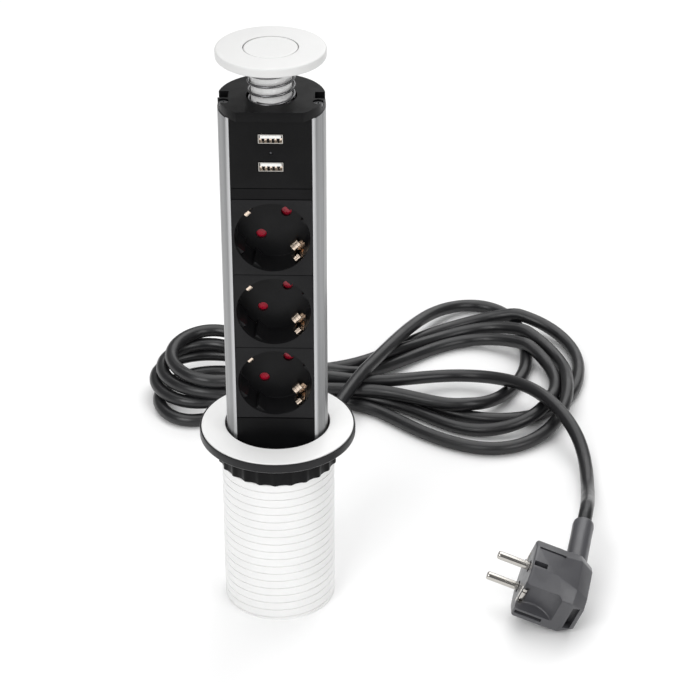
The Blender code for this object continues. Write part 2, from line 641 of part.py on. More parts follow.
# ---- cap -----------------------------------------------------------------------------------
def make_cap():
    """The white cap with its centre insert, the hollow neck and the clip that retains it."""
    low = CAP_TOP - CAP_THICKNESS
    seat = CAP_TOP - 0.0016
    turned("cap_disc", [
        (0.0, seat), (INSERT_R + GAP, seat), (INSERT_R + GAP, CAP_TOP - 0.0002),
        (INSERT_R + 0.0006, CAP_TOP), (CAP_R - 0.0009, CAP_TOP), (CAP_R - 0.0003, CAP_TOP - 0.0003),
        (CAP_R, CAP_TOP - 0.0009), (CAP_R, low + 0.0004), (CAP_R - 0.0004, low), (0.0, low),
    ], "white_plastic")
    turned("cap_insert", [
        (0.0, CAP_TOP), (INSERT_R - 0.0003, CAP_TOP), (INSERT_R, CAP_TOP - 0.0003),
        (INSERT_R, seat + GAP), (0.0, seat + GAP),
    ], "white_plastic", segments=32)
    neck = turned("cap_neck", [
        (NECK_OUTER_R, low - GAP), (NECK_OUTER_R, NECK_BOTTOM),
        (NECK_INNER_R, NECK_BOTTOM), (NECK_INNER_R, low - GAP),
    ], "white_plastic", closed=True, segments=32)
    slot = box((-NECK_SLOT_HALF, -0.03, 0.28), (NECK_SLOT_HALF, 0.0, NECK_SLOT_TOP))
    boolean(neck, new_cutter(slot, "neck_slot"))
    clip_top = PLATE_LOW - GAP
    clip = turned("neck_clip", [
        (0.0124, clip_top), (0.0124, clip_top - 0.0012),
        (NECK_OUTER_R + GAP, clip_top - 0.0012), (NECK_OUTER_R + GAP, clip_top),
    ], "zinc_steel", closed=True, segments=32)
    mouth = box((-0.0077, -0.03, 0.28), (0.0077, 0.0, 0.33))
    boolean(clip, new_cutter(mouth, "clip_mouth"))


def make_spring():
    """The coil spring between the plate's pocket and the cap."""
    start = TOWER_TOP - SPRING_POCKET_DEPTH + GAP + SPRING_WIRE_R
    end = CAP_TOP - CAP_THICKNESS - GAP - SPRING_WIRE_R
    turns = (end - start) / SPRING_PITCH
    count = round(turns * 12)
    first = -math.pi / 2 - math.tau * (0.3117 - start) / SPRING_PITCH
    points = []
    for i in range(count + 1):
        angle = first + math.tau * turns * i / count
        points.append((SPRING_R * math.cos(angle), SPRING_R * math.sin(angle),
                       start + (end - start) * i / count))
    tube("cap_spring", points, SPRING_WIRE_R, "spring_steel", resolution=1)


# ---- cord and plug -------------------------------------------------------------------------
def plug_frame():
    """The matrix that lays the plug on the surface: pins along its -X, cord along its +Y."""
    return Matrix.Translation(PLUG_ORIGIN) @ PLUG_TURN.to_matrix().to_4x4()


def make_plug():
    """The angled plug: body, pins, side earth contacts and the strain relief."""
    frame = new_empty("plug_axis", (0, 0, 0))
    frame.matrix_world = plug_frame()
    h, corner = PLUG_HALF, 0.0115
    body = bmesh.new()
    sections = ((0.0, h, h, corner), (0.0148, h, h, corner),
                (0.0280, h, 0.0171, 0.0083), (PLUG_REAR_X, 0.0166, 0.0119, 0.0062))
    for x, half_y, half_z, cut in sections:
        for sy, sz in ((1, 1), (1, -1), (-1, 1), (-1, -1)):
            body.verts.new((x, sy * half_y, sz * (half_z - cut * 0.8)))
            body.verts.new((x, sy * (half_y - cut), sz * half_z))
    bmesh.ops.convex_hull(body, input=body.verts)
    solid("plug_body", body, "black_rubber", frame, smooth=False)
    for number, side in enumerate((1, -1), 1):
        z = side * PIN_SPACING / 2
        pin = rod((-GAP, 0, z), (-PIN_LENGTH, 0, z), PIN_R, 20)
        tip = [v for v in pin.verts if v.co.x < -PIN_LENGTH / 2]
        rim = [e for e in pin.edges if all(v in tip for v in e.verts)]
        bmesh.ops.bevel(pin, geom=rim, offset=0.0010, segments=2, affect="EDGES")
        solid(f"plug_pin_{number}", pin, "nickel", frame)
        y = side * (PLUG_HALF + GAP)
        contact = box((0.0004, min(y, y + side * 0.0008), -0.0062),
                      (0.0050, max(y, y + side * 0.0008), 0.0062))
        solid(f"plug_earth_contact_{number}", contact, "nickel", frame, smooth=False)
    relief_start = PLUG_HALF + GAP
    profile = [(0.0, PLUG_RELIEF_END), (0.0046, PLUG_RELIEF_END), (0.0057, PLUG_RELIEF_END - 0.0012),
               (0.0061, PLUG_RELIEF_END - 0.0030), (PLUG_RELIEF_R, PLUG_RELIEF_END - 0.0060),
               (0.0062, relief_start), (0.0, relief_start)]
    relief = turned("plug_relief", profile, "black_rubber", segments=24, parent=frame)
    relief.location = (PLUG_CABLE_X, 0, 0)
    relief.rotation_euler = (math.radians(-90), 0, 0)


def cord_routes():
    """The cord's routes: down out of the tower, along the surface, and on to the plug."""
    lead = [(0, GLAND_Y, FOOT_BOTTOM - GAP - RELIEF_LENGTH - GAP), (0, GLAND_Y, 0.0405),
            (0, -0.0093, 0.0267), (0, -0.0015, 0.0150), (0, 0.0102, 0.0073),
            (0, 0.0240, 0.0046), (0, CORD_SPLIT_Y, CORD_LIE)]
    run = [(0, CORD_SPLIT_Y + GAP, CORD_LIE), (0.0010, 0.0700, CORD_LIE),
           (0.0060, 0.1100, 0.0048), (0.0160, 0.1450, 0.0095), (0.0280, 0.1740, 0.0160),
           (0.0375, TIE_Y - WAIST_HALF - 0.0020, 0.0200)]
    frame = plug_frame()
    tail = [(0.1728, 0.1628, 0.0207), (0.1821, 0.1475, 0.0145), (0.1853, 0.1300, 0.0078),
            (0.1852, 0.1100, 0.0052), (0.1841, 0.0920, 0.0080), (0.1826, 0.0740, 0.0150),
            frame @ Vector((PLUG_CABLE_X, PLUG_RELIEF_END + 0.0120, 0)),
            frame @ Vector((PLUG_CABLE_X, PLUG_RELIEF_END + GAP, 0))]
    return lead, run, tail


def oval(centre, half_x, half_y, low_z, high_z, segments=32):
    """A bmesh prism with an oval outline."""
    outline = [(centre[0] + half_x * math.cos(a), centre[1] + half_y * math.sin(a))
               for a in (math.tau * i / segments for i in range(segments))]
    return prism(outline, low_z, high_z)


def make_hank():
    """The tied hank's outer shape: a small lobe, a narrow waist and a large lobe, and its tie."""
    low = HANK_LOW
    hank = solid("cord_hank", oval(LARGE_LOBE[0], *LARGE_LOBE[1:], low, HANK_HIGH), "cord_black",
                 smooth=False)
    boolean(hank, new_cutter(oval(SMALL_LOBE[0], *SMALL_LOBE[1:], low, HANK_HIGH), "small_lobe"),
            "UNION")
    clear = box((TIE_X - TIE_CLEAR, 0.1, 0.0), (TIE_X + TIE_CLEAR, 0.4, 0.1))
    boolean(hank, new_cutter(clear, "tie_clearance"))
    waist = box((SMALL_LOBE[0][0], TIE_Y - WAIST_HALF, low),
                (LARGE_LOBE[0][0], TIE_Y + WAIST_HALF, WAIST_HIGH))
    boolean(hank, new_cutter(waist, "waist"), "UNION")
    half, thick = WAIST_HALF + GAP, 0.0012
    tie = solid("cord_tie", box((TIE_X - 0.0060, TIE_Y - half - thick, low - GAP - thick),
                                (TIE_X + 0.0060, TIE_Y + half + thick, WAIST_HIGH + GAP + thick)),
                "felt", smooth=False)
    loop = box((TIE_X - 0.02, TIE_Y - half, low - GAP), (TIE_X + 0.02, TIE_Y + half, WAIST_HIGH + GAP))
    boolean(tie, new_cutter(loop, "tie_loop"))


def make_cord():
    """The strain relief at the tower, the three stretches of cord and the tied hank."""
    top, length = FOOT_BOTTOM - GAP, RELIEF_LENGTH
    relief = turned("cord_relief", [
        (0.0, top), (0.0085, top), (0.0085, top - 0.0030), (0.0070, top - 0.0040),
        (0.0049, top - length), (0.0, top - length),
    ], "black_rubber", segments=32)
    relief.location = (0, GLAND_Y, 0)
    lead, run, tail = cord_routes()
    tube("cord_lead", smooth_path(lead, 0.008), CORD_R, "cord_black", resolution=3)
    tube("cord_run", smooth_path(run, 0.016), CORD_R, "cord_black", resolution=3)
    tube("cord_tail", smooth_path(tail, 0.012), CORD_R, "cord_black", resolution=3)
    make_hank()


make_sleeve()
make_flange()
make_nut()
make_tower_shell()
make_screws()
make_usb()
make_panels()
for socket_index in range(SOCKETS):
    make_socket(socket_index)
make_contacts()
make_cap()
make_spring()
make_plug()
make_cord()
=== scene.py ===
"""Looks of the pull-up desk socket tower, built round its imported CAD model. Metres, +Z up."""
import math

import bmesh
import bpy
import numpy as np
from mathutils import Euler, Matrix, Vector


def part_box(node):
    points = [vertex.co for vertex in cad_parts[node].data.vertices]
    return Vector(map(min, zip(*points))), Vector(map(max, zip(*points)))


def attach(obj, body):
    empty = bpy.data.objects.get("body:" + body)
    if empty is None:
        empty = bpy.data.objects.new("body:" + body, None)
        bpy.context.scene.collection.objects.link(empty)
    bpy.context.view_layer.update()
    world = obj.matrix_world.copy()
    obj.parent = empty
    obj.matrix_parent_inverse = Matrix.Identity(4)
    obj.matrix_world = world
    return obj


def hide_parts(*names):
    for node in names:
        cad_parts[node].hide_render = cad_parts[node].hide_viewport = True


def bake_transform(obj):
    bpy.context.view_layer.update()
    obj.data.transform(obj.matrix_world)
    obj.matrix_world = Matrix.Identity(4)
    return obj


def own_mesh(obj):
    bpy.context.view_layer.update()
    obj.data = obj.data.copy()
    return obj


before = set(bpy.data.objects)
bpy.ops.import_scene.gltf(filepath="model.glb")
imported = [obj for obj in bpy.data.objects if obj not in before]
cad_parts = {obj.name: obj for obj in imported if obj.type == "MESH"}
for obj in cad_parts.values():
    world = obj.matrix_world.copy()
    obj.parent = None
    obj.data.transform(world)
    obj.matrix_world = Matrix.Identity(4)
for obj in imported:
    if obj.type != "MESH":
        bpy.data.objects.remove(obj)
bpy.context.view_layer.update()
GAP = 0.0003                    # clearance between pieces that touch
PIECE_SHARP_ANGLE = math.radians(35)
CAD_SHARP_ANGLE = math.radians(20)


# ---- camera --------------------------------------------------------------------------------
LENS_MM = 120.0
CAMERA_PLACE = (0.064, -1.100, 0.806)
CAMERA_DOWN = 30.4              # degrees below the horizon
CAMERA_LEFT = 1.23              # degrees to the left of straight back


def make_camera():
    """A long lens from the front, a little to the right and above."""
    data = bpy.data.cameras.new("camera")
    data.lens = LENS_MM
    data.sensor_width = 36.0
    data.clip_start = 0.05
    camera = bpy.data.objects.new("camera", data)
    camera.location = CAMERA_PLACE
    camera.rotation_euler = Euler((math.radians(90 - CAMERA_DOWN), 0.0, math.radians(CAMERA_LEFT)),
                                  "XYZ")
    bpy.context.scene.collection.objects.link(camera)
    bpy.context.scene.camera = camera


make_camera()

# ---- mesh helpers --------------------------------------------------------------------------
def piece(name, bm):
    """A new object from a bmesh, shaded smooth with its sharp edges kept."""
    mesh = bpy.data.meshes.new(name)
    bm.to_mesh(mesh)
    bm.free()
    mesh.shade_smooth()
    mesh.set_sharp_from_angle(angle=PIECE_SHARP_ANGLE)
    obj = bpy.data.objects.new(name, mesh)
    bpy.context.scene.collection.objects.link(obj)
    return obj


def spline(points, steps=4, spacing=None):
    """A smooth curve (Catmull-Rom) through points, with steps between each two of them.

    With a spacing, the steps are as many as keep the curve's points about that far apart.
    """
    points = np.array(points, float)
    ends = np.array([2 * points[0] - points[1], *points, 2 * points[-1] - points[-2]])
    path = []
    for p0, p1, p2, p3 in zip(ends, ends[1:], ends[2:], ends[3:]):
        if spacing:
            steps = max(1, round(np.linalg.norm(p2 - p1) / spacing))
        for i in range(steps):
            t = i / steps
            path.append(0.5 * (2 * p1 + (p2 - p0) * t + (2 * p0 - 5 * p1 + 4 * p2 - p3) * t ** 2
                               + (3 * p1 - p0 - 3 * p2 + p3) * t ** 3))
    return np.array([*path, points[-1]])


def rounded(outline, radius, steps=4):
    """A closed outline of 2-D points with each corner eased by about the radius."""
    points = [Vector(p) for p in outline]
    eased = []
    for before, corner, after in zip(points[-1:] + points[:-1], points, points[1:] + points[:1]):
        back, ahead = before - corner, after - corner
        reach = min(radius, 0.49 * back.length, 0.49 * ahead.length)
        start, end = corner + back.normalized() * reach, corner + ahead.normalized() * reach
        for i in range(steps + 1):
            t = i / steps
            eased.append((1 - t) ** 2 * start + 2 * t * (1 - t) * corner + t * t * end)
    return [tuple(p) for p in eased]


def rings_to_faces(bm, rings, wrap=True):
    """Quads between neighbouring rings of vertices. wrap also joins the last ring to the first."""
    pairs = list(zip(rings, rings[1:]))
    if wrap:
        pairs.append((rings[-1], rings[0]))
    for low, high in pairs:
        for k in range(len(low)):
            n = (k + 1) % len(low)
            bm.faces.new((low[k], low[n], high[n], high[k]))


def skin(bm, rings):
    """Quads between neighbouring rings and a cap on each end."""
    rings_to_faces(bm, rings, wrap=False)
    bm.faces.new(list(reversed(rings[0])))
    bm.faces.new(rings[-1])


def tidied(bm):
    """Merges doubled vertices, drops faces without area and turns all normals outwards."""
    bmesh.ops.remove_doubles(bm, verts=bm.verts, dist=1e-6)
    bmesh.ops.dissolve_degenerate(bm, edges=bm.edges, dist=1e-6)
    bmesh.ops.recalc_face_normals(bm, faces=bm.faces)
    return bm


def lathe(outline, segments=144, shape=None):
    """A bmesh turned round Z from a closed (radius, height) outline.

    shape, where given, changes a radius by its angle round Z.
    """
    bm = bmesh.new()
    rings = []
    for r, z in outline:
        ring = []
        for k in range(segments):
            a = math.tau * k / segments - math.pi / 2
            far = shape(r, a) if shape else r
            ring.append(bm.verts.new((far * math.cos(a), far * math.sin(a), z)))
        rings.append(ring)
    rings_to_faces(bm, rings)
    return tidied(bm)


def swept(name, path, radius, segments=20):
    """A closed mesh tube round a path."""
    bm = bmesh.new()
    side = Vector((1, 0, 0))
    rings = []
    count = len(path)
    for i, point in enumerate(path):
        ahead = Vector(path[min(i + 1, count - 1)]) - Vector(path[max(i - 1, 0)])
        ahead.normalize()
        side = (side - ahead * side.dot(ahead)).normalized()
        up = ahead.cross(side)
        ring = []
        for k in range(segments):
            a = math.tau * k / segments
            out = (side * math.cos(a) + up * math.sin(a)) * radius
            ring.append(bm.verts.new(Vector(point) + out))
        rings.append(ring)
    skin(bm, rings)
    bmesh.ops.recalc_face_normals(bm, faces=bm.faces)
    return piece(name, bm)


def block(corner, opposite):
    """A bmesh box between two corners."""
    low, high = Vector(map(min, zip(corner, opposite))), Vector(map(max, zip(corner, opposite)))
    bm = bmesh.new()
    bmesh.ops.create_cube(bm, size=1.0)
    bmesh.ops.scale(bm, vec=high - low, verts=bm.verts)
    bmesh.ops.translate(bm, vec=(low + high) / 2, verts=bm.verts)
    return bm


def eased_edges(bm, width, angle):
    """Rounds the edges of a bmesh that are sharper than an angle in degrees."""
    sharp = [e for e in bm.edges if len(e.link_faces) == 2
             and e.calc_face_angle(0.0) > math.radians(angle)]
    bmesh.ops.bevel(bm, geom=sharp, offset=width, segments=3, affect="EDGES",
                    profile=0.5, clamp_overlap=True)


def cut(obj, cutters):
    """Takes the cutters out of a piece's own mesh, with exact Booleans."""
    for bm in cutters:
        mesh = bpy.data.meshes.new("cutter")
        bm.to_mesh(mesh)
        bm.free()
        tool = bpy.data.objects.new("cutter", mesh)
        bpy.context.scene.collection.objects.link(tool)
        step = obj.modifiers.new("cut", "BOOLEAN")
        step.operation = "DIFFERENCE"
        step.object = tool
        step.solver = "EXACT"
        apply_modifiers(obj)
        bpy.data.objects.remove(tool)
    obj.data.shade_smooth()
    obj.data.set_sharp_from_angle(angle=PIECE_SHARP_ANGLE)


def apply_modifiers(obj):
    """Makes what the modifiers show the object's own mesh."""
    graph = bpy.context.evaluated_depsgraph_get()
    graph.update()
    mesh = bpy.data.meshes.new_from_object(obj.evaluated_get(graph))
    obj.modifiers.clear()
    obj.data = mesh


def shading_group():
    """Geometry nodes that shade smooth and keep the edges sharper than CAD_SHARP_ANGLE."""
    group = bpy.data.node_groups.new("smooth by angle", "GeometryNodeTree")
    group.interface.new_socket("Geometry", in_out="INPUT", socket_type="NodeSocketGeometry")
    group.interface.new_socket("Geometry", in_out="OUTPUT", socket_type="NodeSocketGeometry")
    start, end = group.nodes.new("NodeGroupInput"), group.nodes.new("NodeGroupOutput")
    angle = group.nodes.new("GeometryNodeInputMeshEdgeAngle")
    less = group.nodes.new("FunctionNodeCompare")
    less.data_type = "FLOAT"
    less.operation = "LESS_THAN"
    less.inputs["B"].default_value = CAD_SHARP_ANGLE
    faces = group.nodes.new("GeometryNodeSetShadeSmooth")
    edges = group.nodes.new("GeometryNodeSetShadeSmooth")
    edges.domain = "EDGE"
    group.links.new(start.outputs[0], faces.inputs["Geometry"])
    group.links.new(faces.outputs[0], edges.inputs["Geometry"])
    group.links.new(angle.outputs["Unsigned Angle"], less.inputs["A"])
    group.links.new(less.outputs["Result"], edges.inputs["Shade Smooth"])
    group.links.new(edges.outputs[0], end.inputs[0])
    return group


SHADING = shading_group()


# how far the edges of the CAD nodes that stay in view are eased
EDGE_WIDTHS = {
    0.0: "clamp_washer top_screw_1 top_screw_2 foot_screw_1 foot_screw_2 live_rail neutral_rail"
         " earth_rail live_wire neutral_wire earth_wire",
    0.0001: "neck_clip usb_port_board usb_power_board indicator_light usb_shell_1 usb_shell_2"
            " usb_tongue_1 usb_tongue_2",
    0.00012: "top_plate",
    0.0002: "usb_panel spacer_panel blank_panel cap_neck contact_insulator shutter_1 shutter_2"
            " shutter_3",
    0.00025: "tower_profile",
    0.0003: "tower_foot",
    0.0004: "socket_body_1 socket_body_2 socket_body_3 usb_transformer usb_capacitor",
    0.0005: "friction_ring",
}


def refine(name, width):
    """Edges eased by the width and clean shading on a CAD node, by modifiers only."""
    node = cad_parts[name]
    weld = node.modifiers.new("weld", "WELD")
    weld.merge_threshold = 0.000002
    flat = node.modifiers.new("flat faces", "DECIMATE")
    flat.decimate_type = "DISSOLVE"
    flat.angle_limit = math.radians(0.6)
    if width:
        bevel = node.modifiers.new("bevel", "BEVEL")
        bevel.width = width
        bevel.segments = 2
        bevel.limit_method = "ANGLE"
        bevel.angle_limit = CAD_SHARP_ANGLE
        closing = node.modifiers.new("weld bevels", "WELD")
        closing.merge_threshold = 0.000002
    smooth = node.modifiers.new("shading", "NODES")
    smooth.node_group = SHADING


# ---- cord ----------------------------------------------------------------------------------
CORD_R = 0.0042
CORD_LIE = CORD_R + 0.0002      # height of the centreline of cord that lies flat
STEP = 0.003                    # spacing of the points along the cord
PLUG_ORIGIN = Vector((0.1391, -0.0242, 0.0275))     # centre of the plug's pin face
PLUG_TURN = Euler((math.radians(12), math.radians(19.1), math.radians(-7.5)), "XYZ")
PLUG_FRAME = Matrix.Translation(PLUG_ORIGIN) @ PLUG_TURN.to_matrix().to_4x4()
PLUG_CABLE_X = 0.0280           # the cord's centreline behind the pin face
PLUG_RELIEF_END = 0.0570        # end of the plug's strain relief, from the plug's centreline
SETTLING_ROUNDS = 60

# The route in millimetres. Each row is a stretch between two passes through the tie.
LEAD = [(0, -12, 51.4), (0, -12, 40.5), (0, -9.3, 26.7), (0, -1.5, 15.0), (0, 10.2, 7.3),
        (0, 24.0, 4.6), (0, 34.4, 4.4), (1, 70, 4.4), (6, 110, 4.8), (16, 145, 9.5),
        (28, 174, 16.0)]
RIGHT_LOOPS = [
    # over the bundle, round inside the others and back
    [(37.5, 195, 20.0), (46.1, 212.4, 21.3), (61.1, 243.5, 21.0), (75.5, 280.0, 15.0),
     (94.2, 316.5, 8.0), (117, 332.5, 4.6), (132.1, 330.5, 4.4), (144.2, 319.3, 4.4),
     (150.5, 304, 4.4), (154, 280, 4.4), (155, 254.8, 4.4), (152.4, 236, 4.4),
     (144, 219.8, 4.4), (133.7, 199, 7.5), (121.8, 184.5, 12.0), (104.2, 179.5, 12.9),
     (87, 186.8, 12.9), (69.6, 196, 12.9), (55.6, 201, 12.9), (43, 201.8, 12.9)],
    [(43, 223.3, 10.0), (57.7, 240.0, 7.5), (72, 254.5, 5.0), (81.7, 262.7, 4.4),
     (106.1, 279.5, 4.4), (130.5, 281.0, 6.5), (148.1, 266.5, 12.6), (160.0, 260.0, 11.5),
     (169.0, 247.0, 6.5), (173.5, 227.0, 6.0), (171.5, 211.0, 10.0), (169.0, 196.0, 13.1),
     (163.0, 180.0, 13.1), (150.0, 168.0, 9.5), (132.6, 163.5, 5.5), (115.5, 162.0, 4.4),
     (98.5, 172.4, 4.4), (81.4, 187.2, 4.4), (63.9, 199.5, 4.4), (43, 206.1, 4.4)],
    [(43, 233.0, 4.4), (57.6, 256.0, 4.4), (72.0, 274.5, 4.4), (85.0, 286.0, 4.4),
     (106.5, 300.0, 4.4), (131.4, 309.0, 7.5), (149.6, 304.0, 12.8), (167.8, 298.5, 9.5),
     (179.6, 288.0, 5.0), (188.2, 267.4, 4.4), (189.5, 248.5, 4.4), (186.2, 223.0, 4.4),
     (178.4, 202.6, 4.4), (167.2, 189.1, 4.4), (154.0, 181.5, 4.4), (138.9, 177.6, 4.4),
     (121.7, 178.3, 4.4), (104.5, 184.4, 4.4), (87.2, 196.2, 4.4), (69.7, 207.5, 4.4),
     (43, 214.7, 4.4)],
    [(43, 232.0, 12.9), (57.6, 248.0, 12.5), (72.0, 264.0, 7.5), (81.7, 273.0, 5.0),
     (106.4, 291.2, 4.4), (130.9, 296.5, 7.0), (148.9, 285.0, 12.8), (160.9, 276.0, 11.0),
     (172.4, 265.0, 6.0), (179.0, 243.6, 5.0), (179.0, 224.0, 11.0), (178.5, 205.0, 13.1),
     (176.5, 186.0, 12.5), (171.2, 170.0, 8.5), (161.0, 158.8, 5.0), (143.4, 144.7, 4.4),
     (126.3, 141.2, 4.4), (103.9, 149.1, 4.4), (79.0, 165.5, 4.4), (58.2, 186.7, 4.4),
     (43, 197.5, 4.4)],
]
LEFT_LOOPS = [
    [(-2, 203.4, 12.9), (-20, 198.5, 21.5), (-36, 190.1, 27), (-49, 176.8, 29.7),
     (-58.1, 177.7, 29.7), (-68.2, 185.1, 29.7), (-78.6, 195.8, 29.7), (-84.8, 211.3, 29.7),
     (-83.7, 224.1, 29.7), (-78.3, 236.6, 29.7), (-68.4, 247, 29.7), (-53.5, 253.1, 29.7),
     (-36, 241.8, 29), (-20, 230, 26.5), (-2, 216.3, 20.5)],
    [(-2, 212, 4.4), (-20, 202, 4.4), (-36, 191.2, 4.4), (-55.8, 171.7, 4.4), (-71, 168.8, 4.4),
     (-81.2, 175.8, 4.4), (-88.5, 186.3, 4.4), (-91.7, 197.1, 4.4), (-92.5, 208.1, 4.4),
     (-88, 220.7, 4.4), (-75.1, 232.1, 4.4), (-53.6, 238.9, 4.4), (-36, 234.5, 4.4),
     (-20, 229, 4.4), (-2, 220.6, 4.4)],
    [(-2, 212, 12.9), (-20, 203, 12.9), (-36, 192.2, 12.9), (-53.6, 180.8, 12.9),
     (-68.3, 177.6, 12.9), (-78.3, 183.7, 12.9), (-90.1, 196.5, 12.9), (-95.6, 209.6, 12.9),
     (-95, 223.1, 12.9), (-89.1, 234.4, 12.9), (-75.1, 242.9, 12.9), (-53.6, 246.7, 12.9),
     (-36, 239.7, 12.9), (-20, 233, 14.5), (-2, 220.6, 12.9)],
    [(-2, 203.4, 4.4), (-20, 193, 11), (-36, 184.8, 18.5), (-48.8, 178.5, 21.3),
     (-59.6, 179.4, 21.3), (-71.7, 183.4, 21.3), (-83.2, 194.1, 21.3), (-90.7, 207.1, 21.3),
     (-91, 220.1, 21.3), (-85.3, 232.7, 21.3), (-73, 243.5, 21.3), (-53.4, 247.7, 21.3),
     (-36, 234.5, 21.3), (-20, 221.5, 21.3), (-2, 207.7, 20.5)],
]
TAIL = [(43, 210.4, 12.9), (55.6, 211.0, 12.9), (69.6, 213.3, 12.9), (93.3, 225.2, 9.5),
        (111.1, 229.0, 8.0), (134.3, 217.5, 13.0), (150.8, 196.5, 20.5), (161.5, 182.5, 21.8),
        (171.9, 164.2, 21.3), (182.1, 147.5, 14.5), (185.3, 130.0, 7.8), (185.2, 110.0, 5.2),
        (184.1, 92.0, 8.0), (182.6, 74.0, 15.0)]


def spaced(path, spacing):
    """The same line with evenly spaced points."""
    along = np.concatenate([[0], np.cumsum(np.linalg.norm(np.diff(path, axis=0), axis=1))])
    at = np.linspace(0, along[-1], round(along[-1] / spacing) + 1)
    return np.stack([np.interp(at, along, path[:, k]) for k in range(3)], axis=1)


def settled(path):
    """The line as a stiff cord settles: kinks eased out, crossings spread until they clear.

    The first and last few points stay where the strain reliefs hold them.
    """
    path = path.copy()
    index = np.arange(len(path))
    far = np.abs(index[:, None] - index[None]) > 4 * CORD_R / STEP
    free = np.ones((len(path), 1))
    free[:3] = free[-10:] = 0.0
    for _ in range(SETTLING_ROUNDS):
        ease = np.zeros_like(path)
        ease[1:-1] = (path[:-2] + path[2:]) / 2 - path[1:-1]
        apart = path[:, None] - path[None]
        gap = np.linalg.norm(apart, axis=2) + 1e-9
        near = far & (gap < 2 * CORD_R)
        push = (apart / gap[..., None] * np.where(near, 2 * CORD_R - gap, 0.0)[..., None]).sum(1)
        path += free * (0.5 * ease + 0.5 * push / np.maximum(near.sum(1), 1)[:, None])
        path[:, 2] = np.maximum(path[:, 2], CORD_LIE)
    return path


def cord_path():
    """The cord's centreline from the tower's foot through the hank to the plug."""
    route = [*LEAD]
    for right, left in zip(RIGHT_LOOPS, LEFT_LOOPS):
        route += right + left
    points = [Vector(p) / 1000 for p in route + TAIL]
    points += [PLUG_FRAME @ Vector((PLUG_CABLE_X, PLUG_RELIEF_END + rest, 0))
               for rest in (0.0120, -0.0100)]
    return settled(spaced(spline(points, spacing=STEP), STEP))


def make_cord():
    """The mains cord as one tube, which stays put."""
    path = cord_path()
    cord = swept("mains_cord", path, CORD_R)
    length = float(np.linalg.norm(np.diff(path, axis=0), axis=1).sum())
    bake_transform(cord)
    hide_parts("cord_lead", "cord_run", "cord_hank", "cord_tail")
    return cord, path, length


# ---- materials -----------------------------------------------------------------------------
class Look:
    """A node material under construction. Scales are in cells per metre, depths in metres."""

    def __init__(self, name, roughness, metallic=0.0):
        self.material = bpy.data.materials.new(name)
        self.material.use_nodes = True
        self.tree = self.material.node_tree
        self.shader = self.tree.nodes["Principled BSDF"]
        self.shader.inputs["Roughness"].default_value = roughness
        self.shader.inputs["Metallic"].default_value = metallic
        self.place = self.tree.nodes.new("ShaderNodeTexCoord").outputs["Object"]
        self.normal = None

    def add(self, kind, **values):
        node = self.tree.nodes.new(kind)
        for name, value in values.items():
            node.inputs[name].default_value = value
        return node

    def link(self, source, target):
        self.tree.links.new(source, target)

    def noise(self, scale, stretch=(1, 1, 1), detail=3.0, roughness=0.5):
        """A 3-D noise value from 0 to 1."""
        mapping = self.add("ShaderNodeMapping", Scale=stretch)
        noise = self.add("ShaderNodeTexNoise", Scale=scale, Detail=detail, Roughness=roughness)
        self.link(self.place, mapping.inputs["Vector"])
        self.link(mapping.outputs[0], noise.inputs["Vector"])
        return noise.outputs["Fac"]

    def ramp(self, value, low, high, start=0.3, end=0.7):
        """Maps a value's middle range to low ... high."""
        node = self.add("ShaderNodeMapRange")
        limits = {"From Min": start, "From Max": end, "To Min": low, "To Max": high}
        for key, number in limits.items():
            node.inputs[key].default_value = number
        self.link(value, node.inputs["Value"])
        return node.outputs["Result"]

    def mix(self, value, low, high):
        """A colour between two, by a value from 0 to 1."""
        node = self.tree.nodes.new("ShaderNodeMix")
        node.data_type = "RGBA"
        for socket, color in ((6, low), (7, high)):
            if isinstance(color, tuple):
                node.inputs[socket].default_value = (*color, 1.0)
            else:
                self.link(color, node.inputs[socket])
        self.link(value, node.inputs[0])
        return node.outputs[2]

    def color(self, source):
        self.link(source, self.shader.inputs["Base Color"])

    def roughness(self, source):
        self.link(source, self.shader.inputs["Roughness"])

    def bump(self, height, depth, strength=0.6):
        """Adds fine relief to the normal."""
        node = self.add("ShaderNodeBump", Strength=strength, Distance=depth)
        self.link(height, node.inputs["Height"])
        if self.normal:
            self.link(self.normal, node.inputs["Normal"])
        self.normal = node.outputs[0]
        self.link(self.normal, self.shader.inputs["Normal"])


def toned(color, change):
    """A colour made darker or lighter by a factor."""
    return tuple(min(1.0, c * change) for c in color)


def moulded(name, color, roughness, grain, depth, tone=0.10, specular=0.5):
    """Moulded plastic or rubber: fine spark-eroded grain and a slow change of tone and gloss."""
    look = Look(name, roughness)
    slow = look.noise(45, detail=2.0)
    base = look.mix(look.ramp(slow, 0.0, 1.0), toned(color, 1 - tone), toned(color, 1 + tone))
    fine = look.noise(grain, detail=2.0, roughness=0.6)
    base = look.mix(look.ramp(fine, 0.0, 0.35), base, toned(color, 1 - 2 * tone))
    look.color(base)
    look.roughness(look.ramp(look.noise(140), roughness - 0.05, roughness + 0.06))
    look.bump(fine, depth)
    look.shader.inputs["Specular IOR Level"].default_value = specular
    return look


def metal(name, color, roughness, stretch=(1, 1, 1), scale=2500, depth=0.000004, tone=0.05):
    """Metal with drawn or rolled lines along the direction that the stretch shortens."""
    look = Look(name, roughness, 1.0)
    lines = look.noise(scale, stretch, detail=2.0)
    base = look.mix(look.ramp(lines, 0.0, 1.0), toned(color, 1 - tone), toned(color, 1 + tone))
    look.color(base)
    cloud = look.noise(120, detail=2.0)
    look.roughness(look.ramp(cloud, roughness * 0.85, roughness * 1.25))
    look.bump(lines, depth)
    return look


